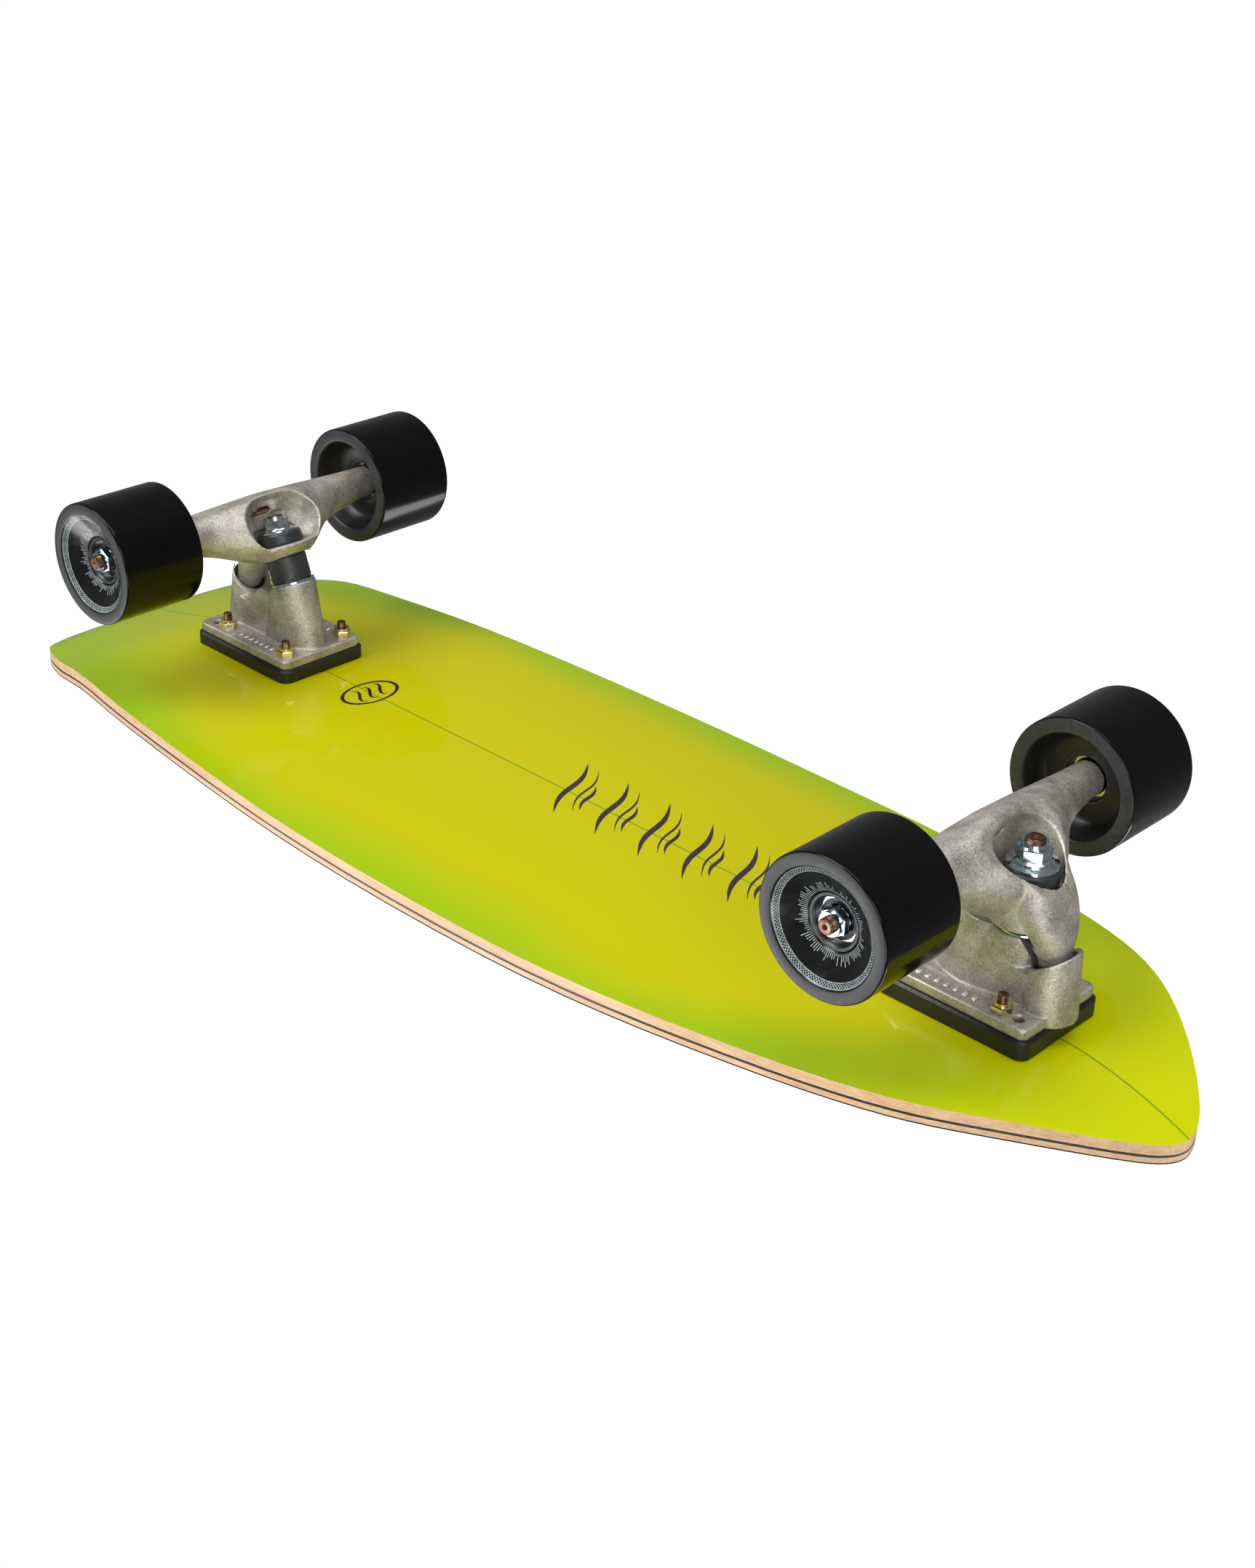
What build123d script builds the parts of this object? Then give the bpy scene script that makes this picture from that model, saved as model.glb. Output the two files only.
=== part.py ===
"""Skateboard with two different cast trucks, standing on its four wheels.

Frame: +X to the nose, +Y to the left, +Z up. The origin is on the ground, under the middle of
the deck's length. Millimetres. Each truck is drawn about its own axle: "forward" is the distance
towards the nose and "up" the height, both measured from the middle of the axle.
"""
import math
import os

from build123d import *

# ---- deck ---------------------------------------------------------------------------------
DECK_LENGTH = 768.5
PLY_COUNT = 7
PLY_THICKNESS = 1.30
GLUE_GAP = 0.04
GRIP_THICKNESS = 0.70
REAR_LEVEL = 116.3          # underside above the ground, over the rear truck
FRONT_LEVEL = 118.0         # the same, over the front truck
LEVEL_CHANGE = (-60.0, 215.0)
KICK_START = -288.0
KICK_BLEND = 30.0
KICK_SLOPE = 0.25
NOSE_START = 302.0
NOSE_CURVE = 0.00277
FLAT_HALF_WIDTH = 25.0      # flat middle of the concave
SLAB_HALF_WIDTH = 135.0     # where EDGE_RISE is measured
EDGE_RISE = [(-400, 9.0), (-300, 9.0), (-240, 7.4), (-197, 6.8), (-137, 8.0), (-17, 10.2),
             (103, 8.6), (200, 4.5), (283, 2.0), (400, 1.5)]
STATIONS = [-400, -372, -345, -318, -303, -288, -265, -240, -200, -140, -60, 20, 100, 160, 215,
            260, 302, 322, 342, 362, 384, 400]
TAIL_STRAIGHT = 50.0        # half length of the straight tail edge
OUTLINE = [(-380.8, 63.0), (-371.5, 76.0), (-355, 85.2), (-317, 97.2), (-277, 105.0), (-237, 111.0), (-177, 117.8),
           (-97, 123.6), (-17, 125.6), (63, 124.3), (143, 119.2), (213, 109.4), (263, 98.8),
           (303, 84.9), (333, 65.5), (356, 44.5), (373, 25.0), (381.2, 12.0)]
REST_STRIP = (-250.0, -70.0)
REST_STRIP_WIDTH = 40.0
REST_STRIP_DEPTH = 0.05

# ---- wheels and axles ---------------------------------------------------------------------
WHEEL_RADIUS = 34.5
WHEEL_INNER_FACE = 65.25
WHEEL_OUTER_FACE = 115.85
WHEEL_EDGE = 0.8
LIP_RADIUS_OUT = 28.0
LIP_RADIUS_IN = 27.5
CORE_RADIUS = 13.2
CORE_BELT_RADIUS = 17.0
CORE_START = 78.2
CORE_END = 107.4
CORE_BELT = (84.0, 101.0)
CORE_LAND = 8.6             # bore of the core between its two bearings
DISH = [(0.7, 0.5), (3.4, 5.0), (6.2, 10.0)]    # depth and inward step from the outer lip
RECESS_CORNER = (2.0, 20.0, 22.5)
AXLE_RADIUS = 3.97
AXLE_TIP = 113.4
AXLE_SOCKET_RADIUS = 1.6
HANGER_END = 81.0
SPEED_WASHER = 1.0
BEARING_WIDTH = 7.0
BEARING_RADIUS = 11.0
BEARING_BORE = 4.0
INNER_RING_RADIUS = 6.05
OUTER_RING_BORE = 9.5
BALL_RADIUS = 1.98
BALL_PITCH = 7.75
BALL_COUNT = 7
GROOVE_RADIUS = 2.06
SHIELD_BORE = 6.6
SHIELD_THICKNESS = 0.3
SHIELD_INSET = 0.45
SPACER_LENGTH = 8.0
SPACER_RADIUS = 5.2
AXLE_NUT_FLATS = 12.7
AXLE_NUT_HEIGHT = 5.6
AXLE_NUT_COLLAR = 1.9

# ---- trucks: places ------------------------------------------------------------------------
FRONT_AXLE = 262.75
REAR_AXLE = -257.44
BOLT_HALF_WIDTH = 20.65
BOLT_RADIUS = 2.4
BOLT_HOLE_RADIUS = 2.7
BOLT_HEAD_RADIUS = 4.7
BOLT_HEAD_HEIGHT = 2.6
BOLT_REACH = 8.6            # how far a bolt reaches past the flange
LOCK_NUT_FLATS = 9.5
LOCK_NUT_HEIGHT = 3.6
LOCK_NUT_COLLAR = 1.6
FLANGE_TOP = 68.5           # height above the axle of the flange's lower face
FLANGE_THICKNESS = 5.5
FLANGE_HALF_WIDTH = 28.5
FLANGE_CORNER = 4.5
PANEL_DEPTH = 0.6
PANEL_BORDER = 2.0
RISER_MARGIN = 1.6
RISER_CORNER = 6.0
RISER_CHAMFER = 1.2
FIT = 0.05                  # clearance between parts that are pressed or bolted together
SEAT_GAP = 0.22

# ---- trucks: parts common to both -----------------------------------------------------------
KINGPIN_RADIUS = 4.76
KINGPIN_HOLE = 4.85
KINGPIN_HEAD_FLATS = 14.0
KINGPIN_HEAD_POCKET = 8.5
RING_HOLE = 8.4
PIVOT_CLEARANCE = 0.3
CUP_WALL = 2.3
BEAK_CLEARANCE = 2.4
POCKET_RADIUS = 17.6
POCKET_HALF_LENGTH = 7.0
NUT_HOLE_RADIUS = 9.0
NUT_HOLE_SHIFT = 4.5
SLIT_HEIGHT = 2.8
# distance along the axle, radius on the board's side and radius on the road's side of an arm
ARM = [(HANGER_END, 9.2, 8.6), (66.0, 10.6, 9.0), (50.0, 13.4, 9.6), (35.0, 16.0, 10.3),
       (22.0, 17.4, 10.8), (10.0, 17.6, 11.2), (0.0, 17.6, 11.4)]
ROAD_SIDE_ANGLE = -110.0


def between(x, table):
    """Straight-line value at x from a list of (x, value)."""
    for (x0, a), (x1, b) in zip(table, table[1:]):
        if x <= x1:
            return a + (b - a) * (x - x0) / (x1 - x0)
    return table[-1][1]


def place(axle_x, shape):
    """Move a truck part from its axle's frame to the board's frame."""
    return Location((axle_x, 0, WHEEL_RADIUS)) * shape


def along(point, direction):
    """A plane at a forward/up point whose normal is a forward/up direction."""
    origin = (point[0], 0, point[1])
    return Plane(origin=origin, x_dir=(0, 1, 0), z_dir=(direction[0], 0, direction[1]))


def rod(plane, radius, start, end):
    """A cylinder along a plane's normal, from start to end."""
    return extrude(plane.offset(start) * Circle(radius), end - start)


def hexagon(plane, flats, start, end):
    """A hexagonal prism along a plane's normal."""
    sketch = plane.offset(start) * RegularPolygon(flats / 2, 6, major_radius=False)
    return extrude(sketch, end - start)


def about_axle(points):
    """A solid of revolution about the axle from (distance along it, radius) points."""
    outline = Polyline(*[(r, y) for y, r in points], close=True)
    return revolve(make_face(Plane.XY * outline), Axis.Y)


def both_sides(shape):
    """A shape on the left and its mirror image on the right, as separate solids."""
    return [shape, mirror(shape, about=Plane.XZ)]


# ---- deck ------------------------------------------------------------------------------------
def centre_height(x):
    """Height of the deck's underside on its centre line."""
    start, end = LEVEL_CHANGE
    t = min(max((x - start) / (end - start), 0), 1)
    level = REAR_LEVEL + (FRONT_LEVEL - REAR_LEVEL) * (1 - math.cos(math.pi * t)) / 2
    if x > NOSE_START:
        return level + NOSE_CURVE * (x - NOSE_START) ** 2
    if x > KICK_START:
        return level
    run = KICK_START - x
    if run < KICK_BLEND:
        return level + KICK_SLOPE * run ** 2 / (2 * KICK_BLEND)
    return level + KICK_SLOPE * (run - KICK_BLEND / 2)


def deck_section(x, low, high):
    """Cross-section of a layer: a flat middle that curves up to both edges."""
    height = centre_height(x)
    rise = between(x, EDGE_RISE)
    middle = (FLAT_HALF_WIDTH + SLAB_HALF_WIDTH) / 2

    def across(z, side):
        """One face of the layer, from the edge on one side to the edge on the other."""
        edge_a = (x, -side * SLAB_HALF_WIDTH, z + rise)
        inner_a = (x, -side * FLAT_HALF_WIDTH, z)
        inner_b = (x, side * FLAT_HALF_WIDTH, z)
        edge_b = (x, side * SLAB_HALF_WIDTH, z + rise)
        first = Bezier(edge_a, (x, -side * middle, z), inner_a)
        last = Bezier(inner_b, (x, side * middle, z), edge_b)
        return [first, Line(inner_a, inner_b), last]

    under = across(height + low, 1)
    over = across(height + high, -1)
    right = Line(under[2] @ 1, over[0] @ 0)
    left = Line(over[2] @ 1, under[0] @ 0)
    return Wire(under + [right] + over + [left])


def deck_outline():
    """Plan of the deck as a tall prism: one curve round the nose, closed by the straight tail."""
    half = DECK_LENGTH / 2
    left = [(-half, TAIL_STRAIGHT)] + OUTLINE
    right = [(x, -y) for x, y in reversed(left)]
    side = Spline(*left, (half, 0), *right)
    plan = make_face([side, Line(side @ 1, side @ 0)])
    return extrude(Plane.XY.offset(REAR_LEVEL - 10) * plan, 60)


def deck_layer(outline, holes, low, high):
    """One layer of the deck between two heights above the underside."""
    slab = Solid.make_loft([deck_section(x, low, high) for x in STATIONS])
    return (slab & outline) - holes


def bolt_spots():
    """Plan positions of the eight truck bolts, and the level of the underside above each."""
    spots = []
    for truck in TRUCKS:
        for forward in truck["bolts"]:
            for side in (-1, 1):
                x = truck["axle"] + forward
                spots.append((x, side * BOLT_HALF_WIDTH, truck["level"]))
    return spots


def deck_top(level):
    """Height of the grip tape's top over a truck."""
    stack = PLY_COUNT * (PLY_THICKNESS + GLUE_GAP) + GRIP_THICKNESS
    return level + stack


def bolt_profile(x, y, level, grow):
    """A countersunk bolt, or with grow above zero the hole for it."""
    top = deck_top(level)
    flange = WHEEL_RADIUS + FLANGE_TOP
    bottom = flange - BOLT_REACH
    radius = BOLT_RADIUS + grow
    head = BOLT_HEAD_RADIUS + grow
    shank = Pos(x, y, bottom) * Cylinder(radius, top - bottom - 0.1, align=BASE)
    cone_base = top - BOLT_HEAD_HEIGHT
    cone = Pos(x, y, cone_base) * Cone(radius, head, BOLT_HEAD_HEIGHT - 0.3, align=BASE)
    disc = Pos(x, y, top - 0.3) * Cylinder(head, 0.3 + grow * 10, align=BASE)
    return shank + cone + disc


def truck_bolts():
    """Eight countersunk bolts with a cross recess."""
    bolts = []
    for x, y, level in bolt_spots():
        bolt = bolt_profile(x, y, level, 0)
        top = deck_top(level)
        for turn in (0, 90):
            slot = Box(5.2, 1.0, 1.4, align=(Align.CENTER, Align.CENTER, Align.MAX))
            bolt -= Pos(x, y, top) * Rot(0, 0, turn) * slot
        bolts.append(bolt)
    return bolts


def lock_nut(plane, flats, height, collar, bore):
    """A hexagonal nut with a round locking collar at its far end."""
    nut = hexagon(plane, flats, 0, height)
    top = nut.faces().sort_by(Axis(plane.origin, plane.z_dir))[-1]
    nut = chamfer(top.edges(), 0.45)
    nut += rod(plane, flats * 0.44, height, height + collar)
    return nut - rod(plane, bore, -1, height + collar + 1)


def truck_lock_nuts():
    """Eight locking nuts under the flanges."""
    nuts = []
    for x, y, _ in bolt_spots():
        flange = WHEEL_RADIUS + FLANGE_TOP
        seat = Plane(origin=(x, y, flange), z_dir=(0, 0, -1))
        nuts.append(lock_nut(seat, LOCK_NUT_FLATS, LOCK_NUT_HEIGHT, LOCK_NUT_COLLAR, BOLT_RADIUS + FIT))
    return nuts


# ---- truck base ------------------------------------------------------------------------------
def rounded_plate(ends, half_width, corner, low, high):
    """A rectangular plate with rounded corners, between two heights."""
    length = ends[1] - ends[0]
    sketch = Pos((ends[0] + ends[1]) / 2, 0) * RectangleRounded(length, 2 * half_width, corner)
    return extrude(Plane.XY.offset(low) * sketch, high - low)


def flange_holes(truck):
    """The bolt holes of a flange, the unused pair included."""
    holes = []
    for forward in list(truck["bolts"]) + [truck["spare_holes"]]:
        for side in (-1, 1):
            at = Pos(forward, side * BOLT_HALF_WIDTH, FLANGE_TOP - 5)
            holes.append(at * Cylinder(BOLT_HOLE_RADIUS, 40, align=BASE))
    return holes


def riser_pad(truck):
    """The pad between the flange and the deck."""
    low = FLANGE_TOP + FLANGE_THICKNESS
    high = truck["level"] - WHEEL_RADIUS - SEAT_GAP
    ends = (truck["flange"][0] - RISER_MARGIN, truck["flange"][1] + RISER_MARGIN)
    pad = rounded_plate(ends, FLANGE_HALF_WIDTH + RISER_MARGIN, RISER_CORNER, low, high)
    pad = chamfer(pad.faces().sort_by(Axis.Z)[0].edges(), RISER_CHAMFER)
    return pad - flange_holes(truck)


def flange(truck):
    """The flat foot of a base, with a sunk panel along each side."""
    high = FLANGE_TOP + FLANGE_THICKNESS
    plate = rounded_plate(truck["flange"], FLANGE_HALF_WIDTH, FLANGE_CORNER, FLANGE_TOP, high)
    plate = fillet(plate.faces().sort_by(Axis.Z)[0].edges(), 1.0)
    start, end = truck["panel"]
    for side in (-1, 1):
        y = side * (FLANGE_HALF_WIDTH - PANEL_BORDER - 5.5)
        sketch = Pos((start + end) / 2, y) * RectangleRounded(end - start, 11, 2.0)
        plate -= extrude(Plane.XY.offset(FLANGE_TOP - 1) * sketch, 1 + PANEL_DEPTH)
    return plate


def tower(truck):
    """The part of a base that carries the kingpin, from the flange to the lower washer."""
    seat_plane = along(truck["seat"], truck["kingpin_down"])
    seat = seat_plane * Circle(truck["seat_radius"])
    centre, half_length, half_width = truck["tower_foot"]
    foot = Plane.XY.offset(FLANGE_TOP + 1) * Pos(centre, 0) * Ellipse(half_length, half_width)
    return loft([foot, seat])


def shoulder(truck):
    """The broad back of the front base, behind its kingpin tower."""
    sections = []
    for height, middle, length, width in truck["shoulder"]:
        sections.append(Plane.XY.offset(height) * Pos(middle, 0) * Ellipse(length, width))
    return loft(sections)


def housing(truck):
    """The part of a base that carries the pivot cup."""
    mouth = along(truck["pivot"], truck["mouth"]).offset(truck["mouth_reach"])
    mouth = mouth * Circle(truck["housing_radius"])
    centre, radius = truck["housing_foot"]
    foot = Plane.XY.offset(FLANGE_TOP + FLANGE_THICKNESS) * Pos(centre, 0) * Circle(radius)
    return loft([foot, mouth])


def web(truck):
    """The flat-sided wall that joins tower and housing, from its outline seen from the side."""
    side = make_face(Plane.XZ * Polyline(*truck["web"], close=True))
    return extrude(side, truck["web_half_width"], both=True)


def kingpin_plane(truck):
    """A plane at the hanger's ring whose normal runs down the kingpin to its nut."""
    return along(truck["ring"], truck["kingpin_down"])


def baseplate(truck):
    """A base casting: flange, tower, pivot housing and web in one piece."""
    base = flange(truck) + tower(truck) + housing(truck) + web(truck)
    if truck is FRONT:
        base += shoulder(truck)
    pin = kingpin_plane(truck)
    head = truck["kingpin_head"]
    base -= rod(pin, KINGPIN_HOLE, head - 1, 10)
    base -= rod(pin, KINGPIN_HEAD_POCKET, head - 30, head + truck["head_height"])
    base -= beak_solid(truck, BEAK_CLEARANCE)
    base -= Pos(truck["pivot"][0], 0, truck["pivot"][1]) * Sphere(truck["ball_radius"] + CUP_WALL + FIT)
    under = Box(200, 200, 60, align=BASE)
    base -= Pos(0, 0, FLANGE_TOP + FLANGE_THICKNESS) * under
    return base - flange_holes(truck)


def pivot_cup(truck):
    """The plastic half shell that the hanger's pivot turns in."""
    ball = truck["ball_radius"]
    shell = Sphere(ball + CUP_WALL) - Sphere(ball + PIVOT_CLEARANCE)
    shell = Pos(truck["pivot"][0], 0, truck["pivot"][1]) * shell
    mouth = along(truck["pivot"], truck["mouth"])
    return shell - extrude(mouth.offset(-0.4) * Rectangle(60, 60), 40)


# ---- kingpin stack ---------------------------------------------------------------------------
def kingpin(truck):
    """The steering bolt, its hexagonal head sunk in the base."""
    pin = kingpin_plane(truck)
    head = truck["kingpin_head"]
    shank = rod(pin, KINGPIN_RADIUS, head + 2, truck["kingpin_tip"])
    shank = chamfer(shank.faces().sort_by(Axis(pin.origin, pin.z_dir))[-1].edges(), 0.8)
    shank -= hexagon(pin, 3.2, truck["kingpin_tip"] - 2.2, truck["kingpin_tip"] + 1)
    return shank + hexagon(pin, KINGPIN_HEAD_FLATS, head, head + truck["head_height"])


def pin_ring(truck, profile):
    """A ring about the kingpin from (distance down the pin, radius) points of its outer side."""
    bore = KINGPIN_RADIUS + FIT
    points = [(bore, profile[0][0])] + [(r, s) for s, r in profile] + [(bore, profile[-1][0])]
    plane = Plane(kingpin_plane(truck).origin, x_dir=(0, 1, 0), z_dir=kingpin_normal(truck))
    return revolve(make_face(plane * Polyline(*points, close=True)), pin_axis(truck))


def kingpin_normal(truck):
    """Side vector that is square to the kingpin and to the board's width."""
    down = truck["kingpin_down"]
    return Vector(0, 1, 0).cross(Vector(down[0], 0, down[1]))


def pin_axis(truck):
    """The kingpin's centre line."""
    down = truck["kingpin_down"]
    return Axis((truck["ring"][0], 0, truck["ring"][1]), (down[0], 0, down[1]))


def lower_bushing(truck):
    """The board-side bushing, a barrel with rounded ends."""
    top, end, radius = truck["lower_bushing"]
    bulge = 0.8
    return pin_ring(truck, [(top, radius - bulge), (top + 1.5, radius), (end - 1.5, radius),
                            (end, radius - bulge)])


def upper_bushing(truck):
    """The road-side bushing, slightly tapered to the cup washer."""
    start, end, radius = truck["upper_bushing"]
    return pin_ring(truck, [(start, radius - 0.8), (start + 1.2, radius), (end - 1.5, radius - 0.4),
                            (end, radius - 1.6)])


def lower_washer(truck):
    """The flat washer between base and board-side bushing."""
    start, end, radius = truck["lower_washer"]
    return pin_ring(truck, [(start, radius - 0.3), (start + 0.3, radius), (end - 0.3, radius),
                            (end, radius - 0.3)])


def cup_washer(truck):
    """The stepped, cupped washer under the kingpin nut."""
    start, end, radius = truck["cup_washer"]
    step = (end - start) / 3
    return pin_ring(truck, [(start, radius), (start + step, radius), (start + 1.6 * step, radius * 0.8),
                            (end - 0.6 * step, radius * 0.76), (end, radius * 0.64)])


def kingpin_nut(truck):
    """The locking nut that sets the steering's stiffness."""
    start, flats, height, collar = truck["kingpin_nut"]
    return lock_nut(kingpin_plane(truck).offset(start), flats, height, collar, KINGPIN_RADIUS + FIT)


# ---- hanger ----------------------------------------------------------------------------------
def lobe(angle, centre, width):
    """A smooth bump of height 1 at an angle, 0 beyond its width. Degrees."""
    away = abs((angle - centre + 180) % 360 - 180)
    if away >= width:
        return 0.0
    return math.cos(math.pi / 2 * away / width) ** 2


def hanger_section(truck, y, board_side, road_side):
    """Section across the hanger: a lopsided arm that swells to the ring and the nut's hood."""
    swell = math.exp(-(abs(y) / truck["swell_reach"]) ** 2.4)
    points = []
    for step in range(20):
        angle = 18.0 * step
        lean = (1 - math.cos(math.radians(angle - ROAD_SIDE_ANGLE))) / 2
        radius = road_side + (board_side - road_side) * lean
        for centre, width, height in truck["lobes"]:
            radius += swell * height * lobe(angle, centre, width)
        forward = radius * math.cos(math.radians(angle))
        up = radius * math.sin(math.radians(angle))
        points.append((forward, y, up))
    return Wire([Spline(*points, periodic=True)])


def hanger_body(truck):
    """The hanger's arms and middle, from end to end."""
    right = [(-y, board, road) for y, board, road in ARM[:-1]]
    left = list(reversed(ARM))
    return Solid.make_loft([hanger_section(truck, *station) for station in right + left])


def scoop(truck):
    """The round-ended hollow across the rear hanger that the kingpin nut sits in."""
    half, radius = POCKET_HALF_LENGTH, POCKET_RADIUS
    side = radius * math.sqrt(0.5)
    outline = [
        Line((-half - radius, 0), (half + radius, 0)),
        ThreePointArc((half + radius, 0), (half + side, side), (half, radius)),
        Line((half, radius), (-half, radius)),
        ThreePointArc((-half, radius), (-half - side, side), (-half - radius, 0)),
    ]
    hollow = revolve(make_face(outline), Axis.X)
    return Pos(truck["pocket"][0], 0, truck["pocket"][1]) * Rot(0, 0, 90) * hollow


def funnel(truck):
    """The hollow in the front hanger, round at the ring and wider towards the road."""
    sections = []
    pin = kingpin_plane(truck)
    for distance, shift, half_forward, half_across in truck["funnel"]:
        plane = Plane(pin.origin + Vector(shift, 0, -distance), x_dir=(0, 1, 0), z_dir=pin.z_dir)
        sections.append(plane * Ellipse(half_across, half_forward))
    return loft(sections)


def beak_solid(truck, grow):
    """The arm from the ring to the pivot ball, or with grow its clearance space."""
    sections = []
    for point, half_width, half_depth in truck["beak"]:
        plane = along(point, truck["beak_direction"])
        sections.append(plane * Ellipse(half_width + grow, half_depth + grow))
    beak = loft(sections)
    ball = Pos(truck["pivot"][0], 0, truck["pivot"][1]) * Sphere(truck["ball_radius"] + min(grow, 1.0))
    return beak + ball


def hanger(truck):
    """A hanger casting with its nut pocket, kingpin ring, pivot ball and axle hole."""
    pin = kingpin_plane(truck)
    half_ring = truck["ring_thickness"] / 2
    body = hanger_body(truck) - rod(pin, 45, -90, truck["body_end"])
    if truck is FRONT:
        body += rod(pin, truck["hood_radius"], truck["body_end"], truck["kingpin_tip"])
        body += beak_solid(truck, 0)
        rim = along(truck["rim"], truck["rim_normal"])
        body -= extrude(rim * Rectangle(160, 160), 60)
        body -= funnel(truck)
    else:
        body += beak_solid(truck, 0)
        body -= scoop(truck) - rod(pin, 60, -90, half_ring)
    body -= rod(pin, truck["seat_bore"], half_ring, truck["seat_depth"])
    room = SlotOverall(2 * (NUT_HOLE_RADIUS + NUT_HOLE_SHIFT), 2 * NUT_HOLE_RADIUS)
    body -= extrude(pin.offset(half_ring + 5) * room, truck["kingpin_tip"] - half_ring - 3)
    body -= rod(pin, RING_HOLE, -30, 30)
    body -= rod(pin, truck["skirt_bore"], truck["skirt_depth"], -half_ring)
    across, height, length = truck["slit"]
    body -= extrude(Plane.YZ * Pos(across, height) * SlotOverall(length, SLIT_HEIGHT), 16)
    axle_hole = extrude(Plane.XZ.offset(-100) * Circle(AXLE_RADIUS + FIT), 200)
    return body - axle_hole


# ---- axle, bearings and wheels ------------------------------------------------------------------
def axle():
    """The steel axle through a hanger, with a drive socket in each end."""
    bar = extrude(Plane.XZ.offset(-AXLE_TIP) * Circle(AXLE_RADIUS), 2 * AXLE_TIP)
    bar = chamfer(bar.edges().filter_by(GeomType.CIRCLE), 0.7)
    for side in (-1, 1):
        socket = RegularPolygon(AXLE_SOCKET_RADIUS, 6)
        start = Plane(origin=(0, side * (AXLE_TIP + 1), 0), z_dir=(0, -side, 0))
        bar -= extrude(start * socket, 3.5)
    return bar


def bearing_starts():
    """Where the two bearings of a left wheel begin along the axle."""
    inner = HANGER_END + SPEED_WASHER
    return [inner, inner + BEARING_WIDTH + SPACER_LENGTH]


def ring(start, end, bore, radius):
    """A plain ring about the left axle."""
    return about_axle([(start, bore), (start, radius), (end, radius), (end, bore)])


def groove(start):
    """The ball track of a bearing."""
    track = Torus(BALL_PITCH, GROOVE_RADIUS)
    return Pos(0, start + BEARING_WIDTH / 2, 0) * Rot(90, 0, 0) * track


def inner_rings():
    """Inner rings of a wheel's two bearings."""
    return [ring(s, s + BEARING_WIDTH, BEARING_BORE, INNER_RING_RADIUS) - groove(s)
            for s in bearing_starts()]


def outer_rings():
    """Outer rings of a wheel's two bearings."""
    return [ring(s, s + BEARING_WIDTH, OUTER_RING_BORE, BEARING_RADIUS) - groove(s)
            for s in bearing_starts()]


def balls():
    """Balls of a wheel's two bearings."""
    solids = []
    for start in bearing_starts():
        for number in range(BALL_COUNT):
            angle = 2 * math.pi * number / BALL_COUNT
            at = Pos(BALL_PITCH * math.cos(angle), start + BEARING_WIDTH / 2, BALL_PITCH * math.sin(angle))
            solids.append(at * Sphere(BALL_RADIUS))
    return solids


def shields():
    """The thin shields on both faces of both bearings."""
    solids = []
    for start in bearing_starts():
        for near in (start + SHIELD_INSET, start + BEARING_WIDTH - SHIELD_INSET - SHIELD_THICKNESS):
            solids.append(ring(near, near + SHIELD_THICKNESS, SHIELD_BORE, OUTER_RING_BORE - 0.02))
    return solids


def spacer():
    """The tube between a wheel's inner rings."""
    start = bearing_starts()[0] + BEARING_WIDTH
    return ring(start, start + SPACER_LENGTH, AXLE_RADIUS + FIT, SPACER_RADIUS)


def speed_washers():
    """The two washers that clamp a wheel's inner rings."""
    outer = bearing_starts()[1] + BEARING_WIDTH
    return [ring(s, s + SPEED_WASHER, AXLE_RADIUS + FIT, INNER_RING_RADIUS - 0.1)
            for s in (HANGER_END, outer)]


def axle_nut():
    """The locking nut on an axle's end."""
    start = bearing_starts()[1] + BEARING_WIDTH + SPEED_WASHER
    seat = Plane(origin=(0, start, 0), z_dir=(0, 1, 0))
    height = AXLE_NUT_HEIGHT - AXLE_NUT_COLLAR
    return lock_nut(seat, AXLE_NUT_FLATS, height, AXLE_NUT_COLLAR, AXLE_RADIUS + FIT)


def wheel():
    """The urethane wheel with a dished outer face and a deep inner recess."""
    bore = CORE_RADIUS + FIT
    belt = CORE_BELT_RADIUS + FIT
    inner, outer = WHEEL_INNER_FACE, WHEEL_OUTER_FACE
    return about_axle([
        (inner, LIP_RADIUS_IN),
        (inner, WHEEL_RADIUS - WHEEL_EDGE),
        (inner + WHEEL_EDGE * 0.3, WHEEL_RADIUS - WHEEL_EDGE * 0.3),
        (inner + WHEEL_EDGE, WHEEL_RADIUS),
        (outer - WHEEL_EDGE, WHEEL_RADIUS),
        (outer - WHEEL_EDGE * 0.3, WHEEL_RADIUS - WHEEL_EDGE * 0.3),
        (outer, WHEEL_RADIUS - WHEEL_EDGE),
        (outer, LIP_RADIUS_OUT),
        *[(outer - depth, LIP_RADIUS_OUT - step) for depth, step in DISH],
        (CORE_END - 0.2, bore + 0.6),
        (CORE_END - 0.8, bore),
        (CORE_BELT[1] + FIT, bore),
        (CORE_BELT[1] + FIT, belt),
        (CORE_BELT[0] - FIT, belt),
        (CORE_BELT[0] - FIT, bore),
        (CORE_START, bore),
        (CORE_START, RECESS_CORNER[1]),
        (CORE_START - RECESS_CORNER[0], RECESS_CORNER[2]),
        (inner + 1.6, LIP_RADIUS_IN - 1.2),
    ])


def wheel_core():
    """The stiff hub that the urethane is cast on and the bearings press into."""
    seat = BEARING_RADIUS + FIT
    first, second = bearing_starts()
    return about_axle([
        (CORE_START, seat + 0.6),
        (CORE_START, CORE_RADIUS),
        (CORE_BELT[0], CORE_RADIUS),
        (CORE_BELT[0], CORE_BELT_RADIUS),
        (CORE_BELT[1], CORE_BELT_RADIUS),
        (CORE_BELT[1], CORE_RADIUS),
        (CORE_END, CORE_RADIUS),
        (CORE_END, seat + 0.8),
        (CORE_END - 0.8, seat),
        (second, seat),
        (second, CORE_LAND),
        (first + BEARING_WIDTH, CORE_LAND),
        (first + BEARING_WIDTH, seat),
        (CORE_START + 0.6, seat),
    ])


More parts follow.
